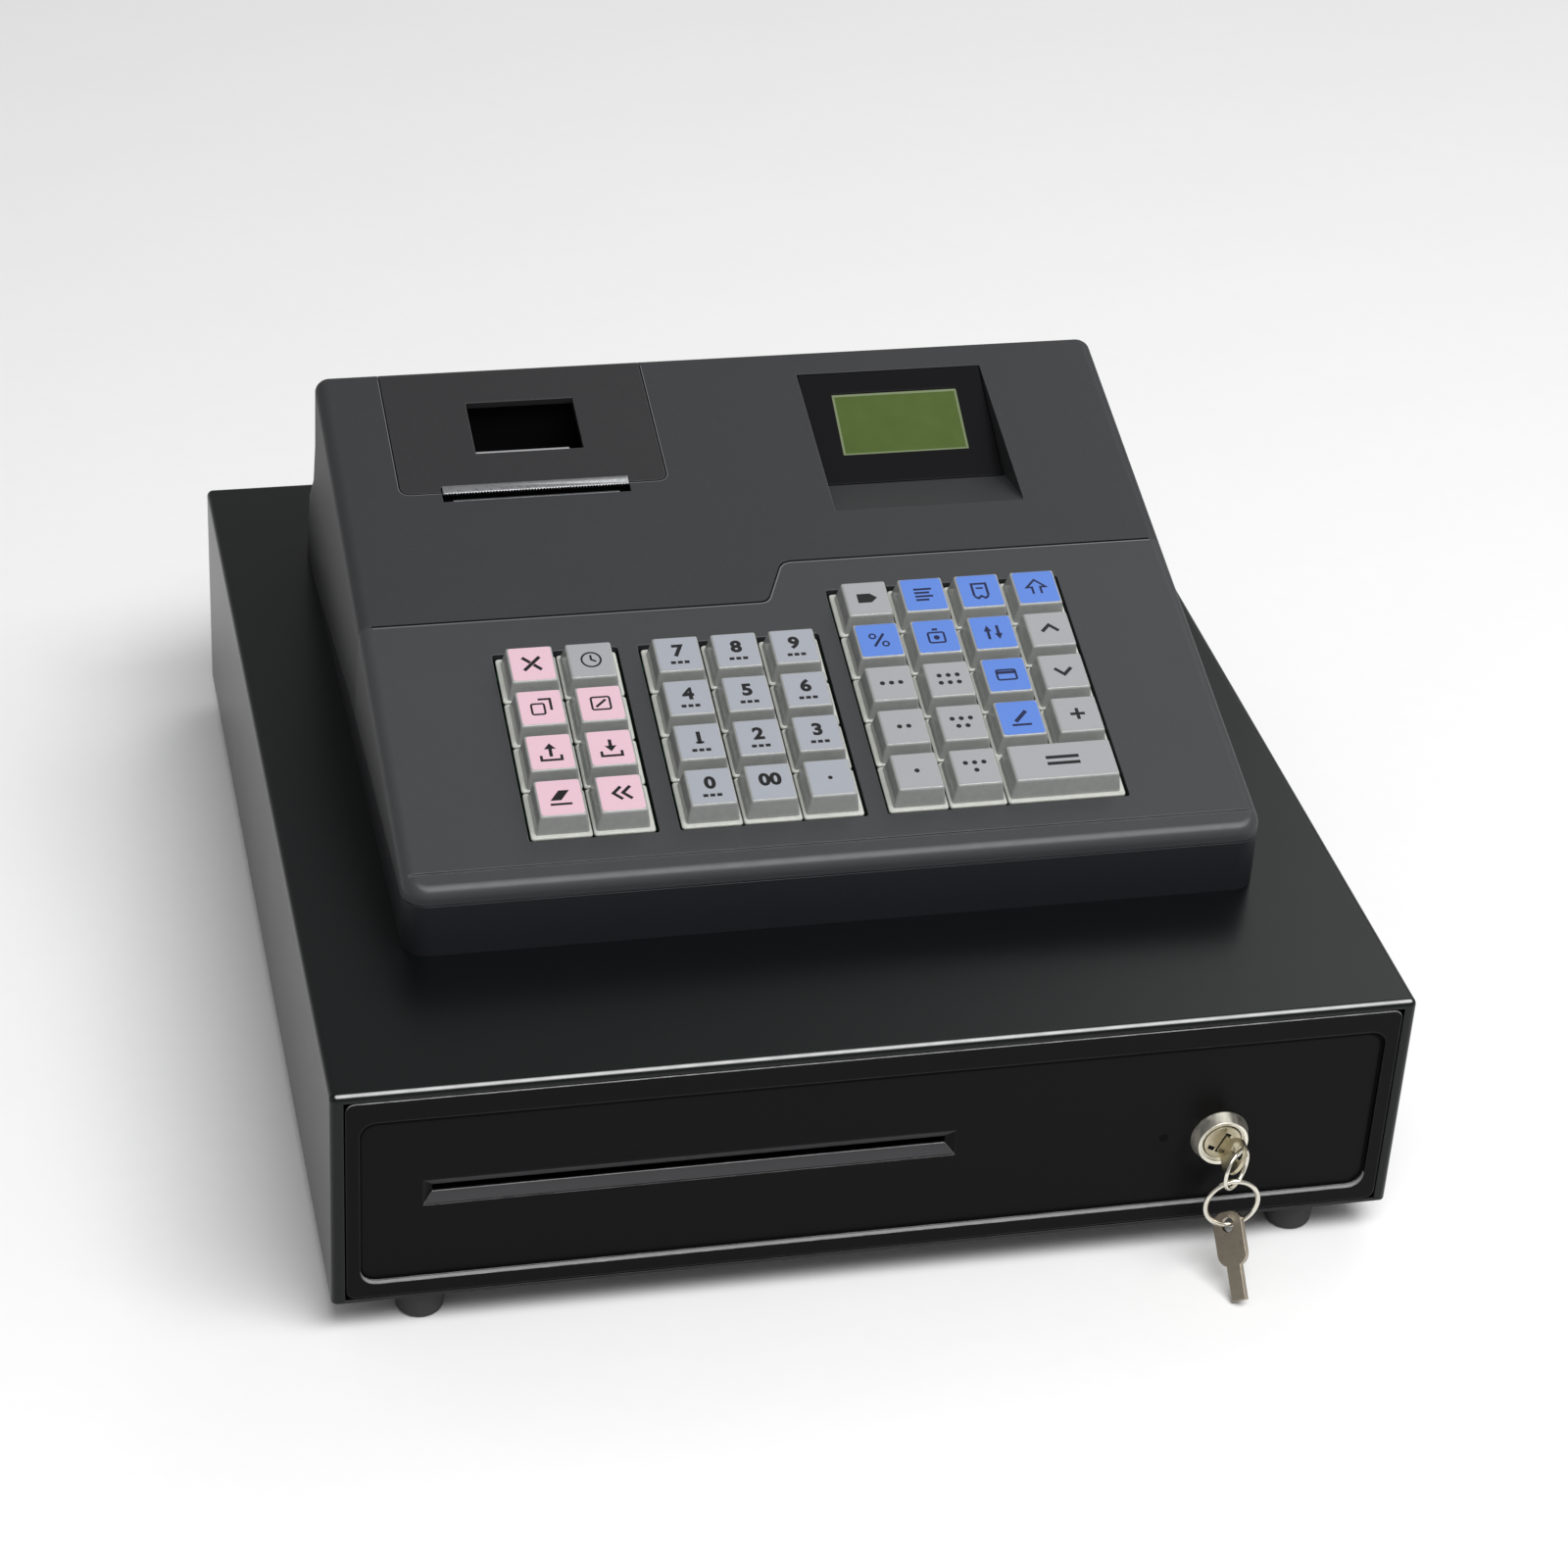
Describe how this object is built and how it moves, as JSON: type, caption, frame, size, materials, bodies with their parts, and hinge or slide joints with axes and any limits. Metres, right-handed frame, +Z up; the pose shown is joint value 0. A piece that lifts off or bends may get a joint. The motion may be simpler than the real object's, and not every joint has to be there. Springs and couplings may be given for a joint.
{
  "type": "electronic cash register with a steel cash drawer",
  "caption": "Electronic cash register with keyboard, tilted display and receipt printer, standing on a steel cash drawer with a cylinder lock, note slot and cash tray",
  "frame": {"origin": "On the floor below the middle of the bounding box", "axes": "+Z up, +X to the operator's right, +Y to the rear; the drawer opens towards -Y"},
  "size_m": [0.335, 0.3988, 0.1729],
  "materials": {
    "drawer_case": "black powder coat",
    "drawer_face": "black powder coat",
    "foot_rubber": "black rubber",
    "plated_steel": "zinc plated",
    "tray_plastic": "moulded black",
    "clip_plastic": "moulded black",
    "nickel": "nickel plated",
    "base_plastic": "fine grain black",
    "cover_plastic": "fine grain dark grey",
    "board_resin": "solder mask",
    "window_plastic": "glossy black window",
    "mechanism_plastic": "moulded black",
    "pink_keys": "clear cap over a pink sheet",
    "blue_keys": "clear cap over a blue sheet",
    "grey_keys": "clear cap over a pale sheet"
  },
  "bodies": {
    "register": {"case_shell": "drawer_case", "case_floor": "drawer_case", "feet": "foot_rubber", "latch_unit": "plated_steel", "register_base": "base_plastic", "keyboard_cover": "cover_plastic", "rear_cover": "cover_plastic", "circuit_boards": "board_resin", "display_module": "window_plastic", "printer_mechanism": "mechanism_plastic"},
    "drawer": {"drawer_box": "plated_steel", "drawer_front": "drawer_face", "cash_tray": "tray_plastic", "lock_barrel": "nickel"},
    "printer_lid": {"printer_cover": "cover_plastic"},
    "lock_plug": {"lock_plug": "nickel"},
    "key_rings": {"key_rings": "nickel"},
    "spare_key": {"spare_key": "nickel"},
    "bill_clips": {"bill_clips": "clip_plastic"},
    "latch_hook": {"latch_hook": "plated_steel"},
    "platen_roller": {"platen_roller": "foot_rubber"},
    "key_cancel": {"key_cancel": "pink_keys"},
    "key_time": {"key_time": "grey_keys"},
    "key_reprint": {"key_reprint": "pink_keys"},
    "key_void": {"key_void": "pink_keys"},
    "key_payout": {"key_payout": "pink_keys"},
    "key_refund": {"key_refund": "pink_keys"},
    "key_clear": {"key_clear": "pink_keys"},
    "key_back": {"key_back": "pink_keys"},
    "key_7": {"key_7": "grey_keys"},
    "key_8": {"key_8": "grey_keys"},
    "key_9": {"key_9": "grey_keys"},
    "key_4": {"key_4": "grey_keys"},
    "key_5": {"key_5": "grey_keys"},
    "key_6": {"key_6": "grey_keys"},
    "key_1": {"key_1": "grey_keys"},
    "key_2": {"key_2": "grey_keys"},
    "key_3": {"key_3": "grey_keys"},
    "key_0": {"key_0": "grey_keys"},
    "key_00": {"key_00": "grey_keys"},
    "key_point": {"key_point": "grey_keys"},
    "key_item": {"key_item": "grey_keys"},
    "key_feed": {"key_feed": "blue_keys"},
    "key_receipt": {"key_receipt": "blue_keys"},
    "key_shift": {"key_shift": "blue_keys"},
    "key_discount": {"key_discount": "blue_keys"},
    "key_clerk": {"key_clerk": "blue_keys"},
    "key_exchange": {"key_exchange": "blue_keys"},
    "key_up": {"key_up": "grey_keys"},
    "key_group_3": {"key_group_3": "grey_keys"},
    "key_group_6": {"key_group_6": "grey_keys"},
    "key_card": {"key_card": "blue_keys"},
    "key_down": {"key_down": "grey_keys"},
    "key_group_2": {"key_group_2": "grey_keys"},
    "key_group_5": {"key_group_5": "grey_keys"},
    "key_cheque": {"key_cheque": "blue_keys"},
    "key_subtotal": {"key_subtotal": "grey_keys"},
    "key_group_1": {"key_group_1": "grey_keys"},
    "key_group_4": {"key_group_4": "grey_keys"},
    "key_total": {"key_total": "grey_keys"}
  },
  "joints": [
    {"name": "drawer_slide", "type": "slide", "parent": "register", "child": "drawer", "axis": [0, -1, 0], "range_m": [0, 0.24]},
    {"name": "lid_hinge", "type": "hinge", "parent": "register", "child": "printer_lid", "pos_m": [-0.07005, 0.12045, 0.16782], "axis": [-1, 0, 0], "range_deg": [0, 85]},
    {"name": "lock_turn", "type": "hinge", "parent": "drawer", "child": "lock_plug", "pos_m": [0.1092, -0.16856, 0.043], "axis": [0, 1, 0], "range_deg": [0, 90]},
    {"name": "ring_swing", "type": "hinge", "parent": "lock_plug", "child": "key_rings", "pos_m": [0.11095, -0.17996, 0.04659], "axis": [-0.7431, -0.6691, 0], "range_deg": [0, 30]},
    {"name": "spare_key_swing", "type": "hinge", "parent": "key_rings", "child": "spare_key", "pos_m": [0.11095, -0.17996, 0.01804], "axis": [-1, 0, 0], "range_deg": [0, 40]},
    {"name": "clip_lift", "type": "hinge", "parent": "drawer", "child": "bill_clips", "pos_m": [0, 0.11545, 0.06], "axis": [-1, 0, 0], "range_deg": [0, 32], "stiffness_Nm_per_rad": 0.02, "springref_deg": -20.05},
    {"name": "latch_turn", "type": "hinge", "parent": "register", "child": "latch_hook", "pos_m": [0.004, 0.15945, 0.0335], "axis": [0, 0, -1], "range_deg": [0, 9], "stiffness_Nm_per_rad": 0.02, "springref_deg": -5.73},
    {"name": "platen_turn", "type": "hinge", "parent": "register", "child": "platen_roller", "pos_m": [-0.07, 0.05993, 0.14253], "axis": [1, 0, 0], "continuous": true},
    {"name": "key_cancel_press", "type": "slide", "parent": "register", "child": "key_cancel", "axis": [0, 0.2583, -0.9661], "range_m": [0, 0.003], "stiffness_N_per_m": 150, "springref_m": -0.002},
    {"name": "key_time_press", "type": "slide", "parent": "register", "child": "key_time", "axis": [0, 0.2583, -0.9661], "range_m": [0, 0.003], "stiffness_N_per_m": 150, "springref_m": -0.002},
    {"name": "key_reprint_press", "type": "slide", "parent": "register", "child": "key_reprint", "axis": [0, 0.2583, -0.9661], "range_m": [0, 0.003], "stiffness_N_per_m": 150, "springref_m": -0.002},
    {"name": "key_void_press", "type": "slide", "parent": "register", "child": "key_void", "axis": [0, 0.2583, -0.9661], "range_m": [0, 0.003], "stiffness_N_per_m": 150, "springref_m": -0.002},
    {"name": "key_payout_press", "type": "slide", "parent": "register", "child": "key_payout", "axis": [0, 0.2583, -0.9661], "range_m": [0, 0.003], "stiffness_N_per_m": 150, "springref_m": -0.002},
    {"name": "key_refund_press", "type": "slide", "parent": "register", "child": "key_refund", "axis": [0, 0.2583, -0.9661], "range_m": [0, 0.003], "stiffness_N_per_m": 150, "springref_m": -0.002},
    {"name": "key_clear_press", "type": "slide", "parent": "register", "child": "key_clear", "axis": [0, 0.2583, -0.9661], "range_m": [0, 0.003], "stiffness_N_per_m": 150, "springref_m": -0.002},
    {"name": "key_back_press", "type": "slide", "parent": "register", "child": "key_back", "axis": [0, 0.2583, -0.9661], "range_m": [0, 0.003], "stiffness_N_per_m": 150, "springref_m": -0.002},
    {"name": "key_7_press", "type": "slide", "parent": "register", "child": "key_7", "axis": [0, 0.2583, -0.9661], "range_m": [0, 0.003], "stiffness_N_per_m": 150, "springref_m": -0.002},
    {"name": "key_8_press", "type": "slide", "parent": "register", "child": "key_8", "axis": [0, 0.2583, -0.9661], "range_m": [0, 0.003], "stiffness_N_per_m": 150, "springref_m": -0.002},
    {"name": "key_9_press", "type": "slide", "parent": "register", "child": "key_9", "axis": [0, 0.2583, -0.9661], "range_m": [0, 0.003], "stiffness_N_per_m": 150, "springref_m": -0.002},
    {"name": "key_4_press", "type": "slide", "parent": "register", "child": "key_4", "axis": [0, 0.2583, -0.9661], "range_m": [0, 0.003], "stiffness_N_per_m": 150, "springref_m": -0.002},
    {"name": "key_5_press", "type": "slide", "parent": "register", "child": "key_5", "axis": [0, 0.2583, -0.9661], "range_m": [0, 0.003], "stiffness_N_per_m": 150, "springref_m": -0.002},
    {"name": "key_6_press", "type": "slide", "parent": "register", "child": "key_6", "axis": [0, 0.2583, -0.9661], "range_m": [0, 0.003], "stiffness_N_per_m": 150, "springref_m": -0.002},
    {"name": "key_1_press", "type": "slide", "parent": "register", "child": "key_1", "axis": [0, 0.2583, -0.9661], "range_m": [0, 0.003], "stiffness_N_per_m": 150, "springref_m": -0.002},
    {"name": "key_2_press", "type": "slide", "parent": "register", "child": "key_2", "axis": [0, 0.2583, -0.9661], "range_m": [0, 0.003], "stiffness_N_per_m": 150, "springref_m": -0.002},
    {"name": "key_3_press", "type": "slide", "parent": "register", "child": "key_3", "axis": [0, 0.2583, -0.9661], "range_m": [0, 0.003], "stiffness_N_per_m": 150, "springref_m": -0.002},
    {"name": "key_0_press", "type": "slide", "parent": "register", "child": "key_0", "axis": [0, 0.2583, -0.9661], "range_m": [0, 0.003], "stiffness_N_per_m": 150, "springref_m": -0.002},
    {"name": "key_00_press", "type": "slide", "parent": "register", "child": "key_00", "axis": [0, 0.2583, -0.9661], "range_m": [0, 0.003], "stiffness_N_per_m": 150, "springref_m": -0.002},
    {"name": "key_point_press", "type": "slide", "parent": "register", "child": "key_point", "axis": [0, 0.2583, -0.9661], "range_m": [0, 0.003], "stiffness_N_per_m": 150, "springref_m": -0.002},
    {"name": "key_item_press", "type": "slide", "parent": "register", "child": "key_item", "axis": [0, 0.2583, -0.9661], "range_m": [0, 0.003], "stiffness_N_per_m": 150, "springref_m": -0.002},
    {"name": "key_feed_press", "type": "slide", "parent": "register", "child": "key_feed", "axis": [0, 0.2583, -0.9661], "range_m": [0, 0.003], "stiffness_N_per_m": 150, "springref_m": -0.002},
    {"name": "key_receipt_press", "type": "slide", "parent": "register", "child": "key_receipt", "axis": [0, 0.2583, -0.9661], "range_m": [0, 0.003], "stiffness_N_per_m": 150, "springref_m": -0.002},
    {"name": "key_shift_press", "type": "slide", "parent": "register", "child": "key_shift", "axis": [0, 0.2583, -0.9661], "range_m": [0, 0.003], "stiffness_N_per_m": 150, "springref_m": -0.002},
    {"name": "key_discount_press", "type": "slide", "parent": "register", "child": "key_discount", "axis": [0, 0.2583, -0.9661], "range_m": [0, 0.003], "stiffness_N_per_m": 150, "springref_m": -0.002},
    {"name": "key_clerk_press", "type": "slide", "parent": "register", "child": "key_clerk", "axis": [0, 0.2583, -0.9661], "range_m": [0, 0.003], "stiffness_N_per_m": 150, "springref_m": -0.002},
    {"name": "key_exchange_press", "type": "slide", "parent": "register", "child": "key_exchange", "axis": [0, 0.2583, -0.9661], "range_m": [0, 0.003], "stiffness_N_per_m": 150, "springref_m": -0.002},
    {"name": "key_up_press", "type": "slide", "parent": "register", "child": "key_up", "axis": [0, 0.2583, -0.9661], "range_m": [0, 0.003], "stiffness_N_per_m": 150, "springref_m": -0.002},
    {"name": "key_group_3_press", "type": "slide", "parent": "register", "child": "key_group_3", "axis": [0, 0.2583, -0.9661], "range_m": [0, 0.003], "stiffness_N_per_m": 150, "springref_m": -0.002},
    {"name": "key_group_6_press", "type": "slide", "parent": "register", "child": "key_group_6", "axis": [0, 0.2583, -0.9661], "range_m": [0, 0.003], "stiffness_N_per_m": 150, "springref_m": -0.002},
    {"name": "key_card_press", "type": "slide", "parent": "register", "child": "key_card", "axis": [0, 0.2583, -0.9661], "range_m": [0, 0.003], "stiffness_N_per_m": 150, "springref_m": -0.002},
    {"name": "key_down_press", "type": "slide", "parent": "register", "child": "key_down", "axis": [0, 0.2583, -0.9661], "range_m": [0, 0.003], "stiffness_N_per_m": 150, "springref_m": -0.002},
    {"name": "key_group_2_press", "type": "slide", "parent": "register", "child": "key_group_2", "axis": [0, 0.2583, -0.9661], "range_m": [0, 0.003], "stiffness_N_per_m": 150, "springref_m": -0.002},
    {"name": "key_group_5_press", "type": "slide", "parent": "register", "child": "key_group_5", "axis": [0, 0.2583, -0.9661], "range_m": [0, 0.003], "stiffness_N_per_m": 150, "springref_m": -0.002},
    {"name": "key_cheque_press", "type": "slide", "parent": "register", "child": "key_cheque", "axis": [0, 0.2583, -0.9661], "range_m": [0, 0.003], "stiffness_N_per_m": 150, "springref_m": -0.002},
    {"name": "key_subtotal_press", "type": "slide", "parent": "register", "child": "key_subtotal", "axis": [0, 0.2583, -0.9661], "range_m": [0, 0.003], "stiffness_N_per_m": 150, "springref_m": -0.002},
    {"name": "key_group_1_press", "type": "slide", "parent": "register", "child": "key_group_1", "axis": [0, 0.2583, -0.9661], "range_m": [0, 0.003], "stiffness_N_per_m": 150, "springref_m": -0.002},
    {"name": "key_group_4_press", "type": "slide", "parent": "register", "child": "key_group_4", "axis": [0, 0.2583, -0.9661], "range_m": [0, 0.003], "stiffness_N_per_m": 150, "springref_m": -0.002},
    {"name": "key_total_press", "type": "slide", "parent": "register", "child": "key_total", "axis": [0, 0.2583, -0.9661], "range_m": [0, 0.003], "stiffness_N_per_m": 150, "springref_m": -0.002}
  ]
}
